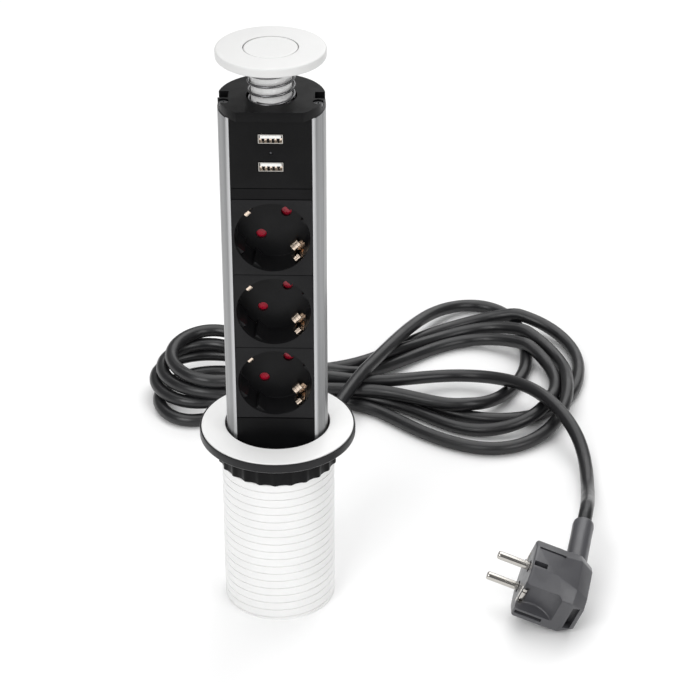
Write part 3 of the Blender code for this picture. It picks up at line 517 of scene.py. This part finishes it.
def board_look():
    """Green solder mask with tracks under it and tinned pads."""
    look = Look("board_green", 0.35)
    cells = look.add("ShaderNodeTexVoronoi", Scale=420.0)
    cells.distance = "CHEBYCHEV"
    look.link(look.place, cells.inputs["Vector"])
    tracks = look.noise(300, (1, 1, 4), detail=1.0)
    mask = look.mix(look.ramp(tracks, 0.0, 1.0, 0.48, 0.52),
                    (0.010, 0.085, 0.035), (0.020, 0.15, 0.060))
    pads = look.ramp(cells.outputs["Distance"], 1.0, 0.0, 0.10, 0.13)
    look.color(look.mix(pads, mask, (0.55, 0.55, 0.50)))
    look.bump(tracks, 0.00003)
    return look


def felt_look():
    """Dense dark felt: short fibres and a soft sheen."""
    look = Look("felt", 0.95)
    fibre = look.noise(2600, (1, 1, 0.3), detail=4.0, roughness=0.7)
    look.color(look.mix(look.ramp(fibre, 0.0, 1.0), (0.018, 0.018, 0.019), (0.055, 0.055, 0.057)))
    look.bump(fibre, 0.0002, 0.8)
    look.shader.inputs["Sheen Weight"].default_value = 0.4
    return look


def aluminium_look():
    """Satin anodised extrusion with faint die lines, and a painted highlight that lightens the
    lips at the front.
    """
    look = Look("aluminium", 0.34, 1.0)
    lines = look.noise(1500, (1, 1, 0.004), detail=3.0)
    wide = look.noise(260, (1, 1, 0.02), detail=1.0)
    base = look.mix(look.ramp(lines, 0.0, 1.0), (0.245, 0.247, 0.25), (0.305, 0.308, 0.312))
    base = look.mix(look.ramp(wide, 0.0, 0.35), base, (0.215, 0.217, 0.22))
    along = look.add("ShaderNodeSeparateXYZ")
    look.link(look.place, along.inputs[0])
    # painted highlight: the lips at the front get a much lighter metal colour, standing in for
    # light falling on them
    lip = look.ramp(along.outputs["Y"], 1.0, 0.0, LIP_FRONT + 0.0004, LIP_FRONT + 0.0010)
    look.color(look.mix(lip, base, (0.52, 0.524, 0.53)))
    look.roughness(look.ramp(look.noise(2200, (1, 1, 0.01)), 0.30, 0.42))
    look.bump(lines, 0.000012)
    return look


def lens_look():
    """A small smoked light pipe, unlit."""
    look = Look("light_lens", 0.12)
    look.color(look.mix(look.ramp(look.noise(900), 0.0, 1.0),
                        (0.010, 0.011, 0.014), (0.03, 0.033, 0.04)))
    look.shader.inputs["Coat Weight"].default_value = 0.6
    return look


LIP_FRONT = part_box("tower_profile")[0].y
WHITE = (0.84, 0.84, 0.835)
BLACK = (0.0050, 0.0050, 0.0054)
LOOKS = {
    "white_plastic": moulded("white_plastic", WHITE, 0.34, 2200, 0.00002, 0.02),
    "black_plastic": moulded("black_plastic", BLACK, 0.40, 1500, 0.00006, 0.30, 0.11),
    "black_rubber": moulded("black_rubber", (0.008, 0.008, 0.009), 0.34, 1800, 0.00005, 0.12, 0.3),
    "felt": felt_look(),
    "aluminium": aluminium_look(),
    "spring_steel": metal("spring_steel", (0.20, 0.20, 0.205), 0.26),
    "zinc_steel": metal("zinc_steel", (0.16, 0.16, 0.165), 0.36),
    "nickel": metal("nickel", (0.52, 0.50, 0.47), 0.12, scale=1400),
    "brass": metal("brass", (0.80, 0.58, 0.26), 0.28, (1, 1, 0.05)),
    "red_shutter": moulded("red_shutter", (0.56, 0.003, 0.032), 0.28, 2400, 0.00002, 0.10),
    "port_white": moulded("port_white", (0.84, 0.84, 0.82), 0.40, 2400, 0.00002, 0.02),
    "board_green": board_look(),
    "light_lens": lens_look(),
    "wire_brown": moulded("wire_brown", (0.20, 0.075, 0.030), 0.42, 1500, 0.00003),
    "wire_blue": moulded("wire_blue", (0.030, 0.12, 0.50), 0.42, 1500, 0.00003),
    "wire_green": moulded("wire_green", (0.25, 0.45, 0.04), 0.42, 1500, 0.00003),
    "cord_black": moulded("cord_black", (0.011, 0.011, 0.012), 0.34, 1300, 0.00004, 0.14),
}


def paint_frame():
    """Gives every CAD node the finish of its material slot."""
    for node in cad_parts.values():
        for place in node.material_slots:
            slot = place.material.name.split(".")[0]
            place.material = LOOKS[slot].material


def finish(obj, slot, body, replaced=(), look=None):
    """Gives a new piece its finish and lets it ride on its body."""
    obj.data.materials.clear()
    obj.data.materials.append((look or LOOKS[slot]).material)
    if body:
        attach(obj, body)
    if replaced:
        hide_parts(*replaced)
    return obj


cord, cord_line, cord_length = make_cord()
paint_frame()
# painted light: a lighter copy of the black plastic on the socket bodies, brightening their shaded
# recesses
SOCKET_LIT_LOOK = moulded("socket_black_lit", (0.0100, 0.0100, 0.0108), 0.36, 1500, 0.00006, 0.30, 0.16)
for body_number in (1, 2, 3):
    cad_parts[f"socket_body_{body_number}"].material_slots[0].material = SOCKET_LIT_LOOK.material
finish(cord, "cord_black", None)

# ---- sleeve, flange and nut ----------------------------------------------------------------
SLEEVE_R = 0.0316
SLEEVE_BORE = 0.0295
SLEEVE_END_EASE = 0.0003        # how far the sleeve's ends are turned down
LIP_R = 0.02845                 # the stop lip inside the sleeve
LIP_HIGH = 0.0025
NOTCH_HALF = 0.0060             # the cable notch at the sleeve's back
NOTCH_TOP = 0.0120
THREAD_PITCH = 0.0050
THREAD_DEPTH = 0.0007
# phase along one pitch, and how deep the groove is there
THREAD_PHASES = ((0.0, 0), (0.83, 0), (0.87, 1), (0.92, 1), (0.96, 0))


def make_sleeve():
    """The threaded sleeve: a helical groove outside, the stop lip inside, the cable notch."""
    low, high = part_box("threaded_sleeve")[0].z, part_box("threaded_sleeve")[1].z
    segments = 120
    bm = bmesh.new()
    turns = math.ceil((high - low) / THREAD_PITCH) + 1
    rows = [((turn + phase) * THREAD_PITCH, deep)
            for turn in range(-1, turns) for phase, deep in THREAD_PHASES]
    columns = []
    for k in range(segments + 1):
        a = math.tau * k / segments + math.pi / 2
        lift = THREAD_PITCH * k / segments
        column = []
        for z, deep in rows:
            z = min(max(z + lift, low), high)
            end = min(z - low, high - z) < 0.0006
            r = SLEEVE_R - (SLEEVE_END_EASE if end else deep * THREAD_DEPTH)
            column.append(bm.verts.new((r * math.cos(a), r * math.sin(a), z)))
        columns.append(column)
    for a, b in zip(columns, columns[1:]):
        for k in range(len(a) - 1):
            bm.faces.new((a[k], b[k], b[k + 1], a[k + 1]))
    lip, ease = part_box("tower_foot")[1].z + GAP, 0.0004
    inner = [(SLEEVE_R - SLEEVE_END_EASE, high), (SLEEVE_BORE + ease, high),
             (SLEEVE_BORE, high - ease), (SLEEVE_BORE, lip + LIP_HIGH), (LIP_R, lip + LIP_HIGH),
             (LIP_R, lip), (SLEEVE_BORE, lip), (SLEEVE_BORE, low + ease),
             (SLEEVE_BORE + ease, low), (SLEEVE_R - SLEEVE_END_EASE, low)]
    rings = []
    for r, z in inner:
        rings.append([bm.verts.new((r * math.cos(a), r * math.sin(a), z)) for a in
                      (math.tau * k / segments + math.pi / 2 for k in range(segments))])
    rings_to_faces(bm, rings, wrap=False)
    sleeve = piece("sleeve", tidied(bm))
    cut(sleeve, [block((-NOTCH_HALF, 0.020, -0.005), (NOTCH_HALF, 0.040, NOTCH_TOP))])
    finish(sleeve, "white_plastic", "base", ["threaded_sleeve"])


def make_flange():
    """The black flange with its rounded band, and the white trim ring let into it."""
    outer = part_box("flange_ring")[1].x
    low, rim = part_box("flange_ring")[0].z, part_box("flange_ring")[1].z
    trim_r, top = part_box("trim_ring")[1].x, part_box("trim_ring")[1].z
    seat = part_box("trim_ring")[0].z - GAP
    bore, nut_seat_r = SLEEVE_R + GAP, 0.0346
    outline = [(trim_r + GAP, seat), (trim_r + GAP, rim), (outer - 0.0002, rim - 0.0001),
               (outer, rim - 0.0016), (outer, low + 0.0009), (outer - 0.0009, low),
               (nut_seat_r, low), (nut_seat_r, low + GAP), (bore, low + GAP), (bore, seat)]
    finish(piece("flange", lathe(rounded(outline, 0.0003, 3))), "black_rubber", "base",
           ["flange_ring"])
    hole, slope = 0.02915, 0.0015
    outline = [(hole, top), (trim_r, top - slope), (trim_r, seat + GAP), (hole, seat + GAP)]
    finish(piece("trim", lathe(rounded(outline, 0.0006, 5))), "white_plastic", "base",
           ["trim_ring"])


NUT_RIDGES = 24
NUT_RIDGE_R = 0.0338
NUT_BORE = 0.0319
NUT_FLUTE = 0.0011              # depth of the flutes


def make_nut():
    """The ring nut: narrow rounded ridges with wide shallow flutes, and an eased lower rim."""
    low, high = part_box("ring_nut")[0].z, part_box("ring_nut")[1].z

    def fluted(r, angle):
        if r < NUT_BORE + 0.0004:
            return r
        crest = abs(math.cos(NUT_RIDGES * (angle + math.pi / 2) / 2)) ** 4
        return r - NUT_FLUTE * (1 - crest)

    outline = rounded([(NUT_BORE, low), (NUT_RIDGE_R, low), (NUT_RIDGE_R, high),
                       (NUT_BORE, high)], 0.0005, 3)
    finish(piece("nut", lathe(outline, NUT_RIDGES * 12, fluted)), "black_plastic", "nut",
           ["ring_nut"])


# ---- cap, neck and spring ------------------------------------------------------------------
# painted shade: a darker copy of the white plastic for the cap and its button, whose tops face the
# lamps most
CAP_SHADED_LOOK = moulded("cap_white_shaded", (0.66, 0.66, 0.655), 0.38, 2200, 0.00002, 0.015)


def make_cap():
    """The cap's disc with its soft rim and the insert in its ring groove."""
    disc_low, disc_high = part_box("cap_disc")[0].z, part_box("cap_disc")[1].z
    disc_r, insert_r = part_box("cap_disc")[1].x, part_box("cap_insert")[1].x
    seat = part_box("cap_insert")[0].z - GAP
    pocket_r = insert_r + 0.0006
    # the second and third corner of four, each with steps + 1 points
    steps = 5
    rim = rounded([(pocket_r, disc_high), (disc_r, disc_high), (disc_r, disc_low),
                   (0.0, disc_low)], 0.0012, steps)[steps + 1:3 * (steps + 1)]
    bm = lathe([(0.0, seat), (pocket_r, seat), (pocket_r, disc_high), *rim, (0.0, disc_low)])
    finish(piece("cap", bm), "white_plastic", "cap", ["cap_disc"], CAP_SHADED_LOOK)
    crown = [(0.0, disc_high), (insert_r - 0.0009, disc_high), (insert_r - 0.0005, disc_high),
             (insert_r - 0.0001, disc_high - 0.0002),
             (insert_r, disc_high - 0.0005), (insert_r, seat + GAP), (0.0, seat + GAP)]
    finish(piece("cap_button", lathe(crown)), "white_plastic", "cap", ["cap_insert"], CAP_SHADED_LOOK)


def make_spring():
    """The coil spring round the neck, with a flat half turn at each end."""
    low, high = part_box("cap_spring")[0].z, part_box("cap_spring")[1].z
    wire, coil_r, pitch, per_turn = 0.00065, 0.0119, 0.0049, 40
    front_height = 0.3117       # where one of the coils passes the front of the neck
    start, end = low + wire, high - wire
    turns = (end - start) / pitch
    first = -math.pi / 2 - math.tau * (front_height - start) / pitch
    count = round(turns * per_turn)
    path = []
    for i in range(-per_turn // 2, count + per_turn // 2 + 1):
        angle = first + math.tau * turns * i / count
        z = start + (end - start) * min(max(i / count, 0.0), 1.0)
        path.append((coil_r * math.cos(angle), coil_r * math.sin(angle), z))
    spring = swept("spring", path, wire, 12)
    finish(spring, "spring_steel", "tower", ["cap_spring"])
    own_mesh(spring)


# ---- sprung contacts, ports and the plug ----------------------------------------------------
PANEL_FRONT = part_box("usb_panel")[0].y
EARTH_METAL = metal("earth_metal", (0.82, 0.68, 0.56), 0.20, scale=1600)


def strip(bm, path, wide, thickness):
    """Adds a flat strip along a path. wide is its half-width vector. One edge is slanted."""
    points = [Vector(p) for p in path]
    wide = Vector(wide)
    rings = []
    for i, point in enumerate(points):
        ahead = points[min(i + 1, len(points) - 1)] - points[max(i - 1, 0)]
        rise = ahead.cross(wide).normalized() * (thickness / 2)
        rings.append([bm.verts.new(point + a) for a in
                      (wide + rise, wide * 0.9 - rise, -wide - rise, -wide + rise)])
    skin(bm, rings)


def make_earth_clip(number):
    """Both sprung earth fingers of a socket and the bar that joins them behind its floor.

    Points are (out from the centre, across, depth behind the socket's face) in millimetres.
    """
    low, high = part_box(f"socket_body_{number}")
    middle = (low.z + high.z) / 2
    bm = bmesh.new()

    def place(side, u, v, depth):
        u, v, turn = side * u / 1000, v / 1000, math.radians(45)
        x = u * math.cos(turn) - v * math.sin(turn)
        z = middle - u * math.sin(turn) - v * math.cos(turn)
        return Vector((x, PANEL_FRONT + depth / 1000, z))

    def run(side, points, half):
        line = [place(side, *p) for p in spline(points)]
        wide = (place(side, 0, 1, 0) - place(side, 0, 0, 0)).normalized() * half
        strip(bm, line, wide, 0.00045)

    for side in (1, -1):
        for v in (-1.72, 0.0, 1.72):            # three leaves that bulge into the recess
            run(side, [(20.2, v, 16.5), (19.6, v, 14.6), (18.4, v, 13.4), (16.6, v, 13.6),
                       (15.0, v, 14.3), (14.5, v, 15.2), (14.6, v, 16.8)], 0.00078)
        run(side, [(20.5, 0, 22.5), (20.6, 0, 19.0), (20.2, 0, 16.3)], 0.0025)
        for v in (-4.0, 4.0):                   # a guide on each side of them
            run(side, [(19.9, v * 0.55, 15.6), (19.3, v * 0.8, 14.6), (18.9, v, 13.0),
                       (18.7, v, 11.4), (19.1, v, 10.2)], 0.0011)
        run(side, [(20.6, 0, 18.0), (20.9, 0, 10.0), (20.7, 0, 4.2), (20.0, 0, 2.7),
                   (18.6, 0, 2.1), (17.2, 0, 2.9)], 0.0017)
    run(1, [(20.5, 0, 22.0), (10.0, 0, 22.0), (-10.0, 0, 22.0), (-20.5, 0, 22.0)], 0.0022)
    clip = piece(f"earth_clip_{number}", tidied(bm))
    finish(clip, "nickel", "tower", [f"earth_strap_{number}"], EARTH_METAL)


def make_usb_contacts(number):
    """The four spring contacts under a port's tongue, in front of their pale carrier."""
    low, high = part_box(f"usb_shell_{number}")
    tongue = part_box(f"usb_tongue_{number}")[0].z
    sheet, spacing = 0.00045, 0.0026
    floor, front = low.z + sheet, low.y
    half = (high.x - low.x) / 2 - 0.0006
    carrier = block((-half, front + 0.0018, floor), (half, front + 0.0026, tongue - 0.0001))
    finish(piece(f"usb_carrier_{number}", carrier), "nickel", "tower", look=EARTH_METAL)
    bm = bmesh.new()
    height = tongue - floor
    for k, (top, foot) in enumerate(((0.00095, 0.00035), (0.00070, 0.00056),
                                     (0.00070, 0.00056), (0.00095, 0.00035))):
        x = (k - 1.5) * spacing
        outline = [(x - foot, 0.12), (x + foot, 0.12), (x + top, 0.95), (x + top * 0.25, 0.95),
                   (x, 0.70), (x - top * 0.25, 0.95), (x - top, 0.95)]
        faces = [[bm.verts.new((px, y, floor + share * height)) for px, share in outline]
                 for y in (front + 0.0009, front + 0.00175)]
        bm.faces.new(faces[0])
        bm.faces.new(list(reversed(faces[1])))
        rings_to_faces(bm, faces, wrap=False)
    finish(piece(f"usb_contacts_{number}", tidied(bm)), "black_plastic", "tower")


PLUG_HALF = 0.0192
PLUG_CORNER = 0.0115            # width of the chamfer between the plug's sides
CHAMFER_RISE = 0.55             # height of a chamfer as a share of its width
PIN_ASIDE = 0.0095              # the pins' distance from the plug's middle
EARTH_ASIDE = 0.0146            # and the earth contacts'
# distance behind the pin face, half width, half height and chamfer's width of the body there
PLUG_SECTIONS = ((0.0, PLUG_HALF - 0.0006, PLUG_HALF - 0.0006, PLUG_CORNER),
                 (0.0012, PLUG_HALF, PLUG_HALF, PLUG_CORNER),
                 (0.0148, PLUG_HALF, PLUG_HALF, PLUG_CORNER),
                 (0.0280, PLUG_HALF, 0.0171, 0.0083),
                 (0.0360, 0.0166, 0.0119, 0.0062))
PLUG_LOOK = moulded("plug_rubber", (0.060, 0.060, 0.066), 0.36, 1800, 0.00006, 0.12, 0.7)


def in_plug(bm):
    """Moves a bmesh from the plug's own frame to its place."""
    bmesh.ops.transform(bm, matrix=PLUG_FRAME, verts=bm.verts)
    return bm


def turned_to(bm, start, axis):
    """Stands a bmesh that was made along +Z on a start point, along another axis."""
    turn = Vector(axis).to_track_quat("Z", "Y").to_matrix().to_4x4()
    bmesh.ops.transform(bm, matrix=Matrix.Translation(Vector(start)) @ turn, verts=bm.verts)
    return bm


def make_plug_body():
    """The plug's moulded body: faceted, with scooped finger grips, slots and sunk pin seats."""
    bm = bmesh.new()
    for x, half_y, half_z, chamfer in PLUG_SECTIONS:
        for sy, sz in ((1, 1), (1, -1), (-1, 1), (-1, -1)):
            bm.verts.new((x, sy * half_y, sz * (half_z - chamfer * CHAMFER_RISE)))
            bm.verts.new((x, sy * (half_y - chamfer), sz * half_z))
    bmesh.ops.convex_hull(bm, input=bm.verts)
    bmesh.ops.dissolve_limit(bm, angle_limit=math.radians(1), verts=bm.verts, edges=bm.edges)
    eased_edges(bm, 0.0006, 12)
    body = piece("plug_shell", tidied(bm))
    scoop_r, scoop_high, seat_r, seat_deep = 0.0155, 0.0200, 0.0036, 0.0016
    cutters = []
    for side in (-1, 1):
        scoop = rounded([(0.0, 0.0), (scoop_r, 0.0), (scoop_r, scoop_high), (0.0, scoop_high)],
                        0.0012, 3)
        seat = [(0, 0), (seat_r, 0), (seat_r, seat_deep), (0, seat_deep)]
        cutters += [
            turned_to(lathe(scoop, 96), (0.0090, side * 0.0275, -0.0060), (0, 0, 1)),
            block((0.0010, side * 0.0165, -0.0100), (0.0170, side * 0.0220, -0.0076)),
            block((0.0296, side * 0.0130, -0.0085), (0.0336, side * 0.0220, 0.0095)),
            turned_to(lathe(seat, 40), (0.0006, 0, side * PIN_ASIDE), (-1, 0, 0))]
    cutters += [block((0.0020, 0.0068, 0.0165), (0.0180, 0.0086, 0.0250)),
                block((0.0008, -0.0066, 0.0150), (0.0085, -0.0030, 0.0250))]
    cut(body, cutters)
    body.data.transform(PLUG_FRAME)
    return finish(body, "black_rubber", "base", ["plug_body"], PLUG_LOOK)


def make_plug_metal():
    """The two pins with rounded tips, and the sprung earth contacts at the sides."""
    pin_r, pin_root, tip_r, pin_end = 0.0024, -0.0012, 0.0013, 0.0190
    for number, side in enumerate((1, -1), 1):
        outline = [(0, pin_root), (pin_r, pin_root)]
        outline += [(pin_r - tip_r * (1 - math.cos(a)), pin_end - tip_r + tip_r * math.sin(a))
                    for a in (math.radians(15 * k) for k in range(7))]
        outline += [(0, pin_end)]
        pin = turned_to(lathe(outline, 48), (0, 0, side * PIN_ASIDE), (-1, 0, 0))
        finish(piece(f"pin_{number}", in_plug(pin)), "nickel", "base", [f"plug_pin_{number}"])
        y = side * EARTH_ASIDE
        bm = bmesh.new()
        line = [(0.0040, y - side * 0.0028, 0), (0.0030, y - side * 0.0004, 0), (0.0016, y, 0),
                (0.0004, y - side * 0.0006, 0), (-0.0001, y - side * 0.0018, 0)]
        line = [Vector(p) for p in spline(line)]
        for z, half in ((-0.0052, 0.0014), (0.0004, 0.0030), (0.0052, 0.0010)):
            run = [p + Vector((0, 0, z)) for p in line]
            strip(bm, run, (0, 0, half), 0.0006)
        rail = block((0.0002, y - side * 0.0026, -0.0072), (0.0030, y - side * 0.0016, 0.0066))
        mesh = bpy.data.meshes.new("rail")
        rail.to_mesh(mesh)
        rail.free()
        bm.from_mesh(mesh)
        bpy.data.meshes.remove(mesh)
        finish(piece(f"side_contact_{number}", in_plug(tidied(bm))), "nickel", "base",
               [f"plug_earth_contact_{number}"])


def make_plug_relief():
    """The plug's strain relief: a straight collar with a rounded lip that narrows to the cord."""
    start = PLUG_HALF - 0.0060
    length = PLUG_RELIEF_END - start
    outline = [(0, 0), (0.0064, 0), (0.0062, length - 0.0120), (0.0063, length - 0.0035)]
    outline += [(0.0060, length - 0.0015), (0.0050, length - 0.0004), (0.0045, length)]
    outline += [(0, length)]
    bm = turned_to(lathe(outline, 64), (PLUG_CABLE_X, start, 0), (0, 1, 0))
    return finish(piece("plug_collar", in_plug(bm)), "black_rubber", "base", ["plug_relief"],
                  PLUG_LOOK)


def make_cord_relief():
    """The tapered strain relief under the tower's foot, with three bending grooves."""
    low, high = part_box("cord_relief")
    x, y = (low.x + high.x) / 2, (low.y + high.y) / 2
    head_r = 0.0085
    outline = [(0, high.z), (head_r, high.z), (head_r, high.z - 0.0030),
               (0.0072, high.z - 0.0038)]
    for k in range(3):
        top = high.z - 0.0062 - k * 0.0042
        r = 0.0068 - k * 0.0006
        outline += [(r, top), (r - 0.0007, top - 0.0003), (r - 0.0007, top - 0.0013),
                    (r - 0.0002, top - 0.0016)]
    outline += [(0.0049, low.z), (0, low.z)]
    bm = lathe(outline, 64)
    bmesh.ops.translate(bm, vec=(x, y, 0), verts=bm.verts)
    finish(piece("foot_relief", bm), "black_rubber", "tower", ["cord_relief"])


def make_tie():
    """The hook-and-loop strap round the hank's waist, with its overlapped end."""
    low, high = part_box("cord_tie")
    x, half = (low.x + high.x) / 2, (high.x - low.x) / 2
    front, back, bottom, top = 0.1974, 0.2266, 0.0006, 0.0262
    middle_y, middle_z = (front + back) / 2, (bottom + top) / 2
    corners = rounded([(front, bottom), (back, bottom), (back, top), (front, top)], 0.0080, 8)
    bm = bmesh.new()
    rings = []
    for y, z in corners:
        out = Vector((0, y - middle_y, z - middle_z)).normalized() * 0.0006
        spot = Vector((x, y, z))
        wide = Vector((half, 0, 0))
        rings.append([bm.verts.new(spot + a) for a in (wide, wide + out, -wide + out, -wide)])
    rings_to_faces(bm, rings)
    end = [(x, front + 0.0060 + 0.0028 * k, top + 0.0010 + 0.0001 * k) for k in range(7)]
    strip(bm, end, (half, 0, 0), 0.0009)
    for vert in bm.verts:
        vert.co.z = max(vert.co.z, 0.0001)
    finish(piece("tie_strap", tidied(bm)), "felt", "base", ["cord_tie"])


make_sleeve()
make_flange()
make_nut()
make_cap()
make_spring()
for socket_number in (1, 2, 3):
    make_earth_clip(socket_number)
for port_number in (1, 2):
    make_usb_contacts(port_number)
plug_parts = [make_plug_body(), make_plug_relief()]
make_plug_metal()
make_cord_relief()
make_tie()
for edge_width, node_names in EDGE_WIDTHS.items():
    for node_name in node_names.split():
        refine(node_name, edge_width)


# ---- floor and light -----------------------------------------------------------------------
FLOOR_HALF = 3.0
WORLD_STRENGTH = 0.22
LIGHTS_AIM = (0.03, 0.05, 0.12)
# name, place, side length and power in watts
LIGHTS = (("overhead", (0.0, 0.7, 2.6), 3.0, 54.0), ("back right", (0.8, 2.2, 1.5), 2.0, 18.0),
          ("front left", (-1.3, -2.1, 1.9), 1.8, 50.0),
          ("front right", (1.6, -1.4, 1.3), 1.4, 18.0))


def make_floor():
    """A plain pale floor."""
    bm = bmesh.new()
    bmesh.ops.create_grid(bm, x_segments=8, y_segments=8, size=FLOOR_HALF)
    floor = piece("floor", bm)
    look = Look("floor", 0.75)
    look.color(look.mix(look.ramp(look.noise(6), 0.0, 1.0),
                        (0.90, 0.90, 0.90), (0.92, 0.92, 0.92)))
    floor.data.materials.append(look.material)


def area_light(name, place, size, power):
    """A soft square light at a place, aimed at the object."""
    data = bpy.data.lights.new(name, "AREA")
    data.shape = "SQUARE"
    data.size = size
    data.energy = power
    light = bpy.data.objects.new(name, data)
    light.location = place
    away = Vector(place) - Vector(LIGHTS_AIM)
    light.rotation_euler = away.to_track_quat("Z", "Y").to_euler()
    bpy.context.scene.collection.objects.link(light)


def make_light():
    """White surroundings, a wide soft light above, one behind and two at the front."""
    world = bpy.data.worlds.new("studio")
    world.use_nodes = True
    world.node_tree.nodes["Background"].inputs["Color"].default_value = (1.0, 1.0, 1.0, 1.0)
    world.node_tree.nodes["Background"].inputs["Strength"].default_value = WORLD_STRENGTH
    bpy.context.scene.world = world
    for light in LIGHTS:
        area_light(*light)
    bpy.context.scene.view_settings.view_transform = "Standard"


make_floor()
make_light()
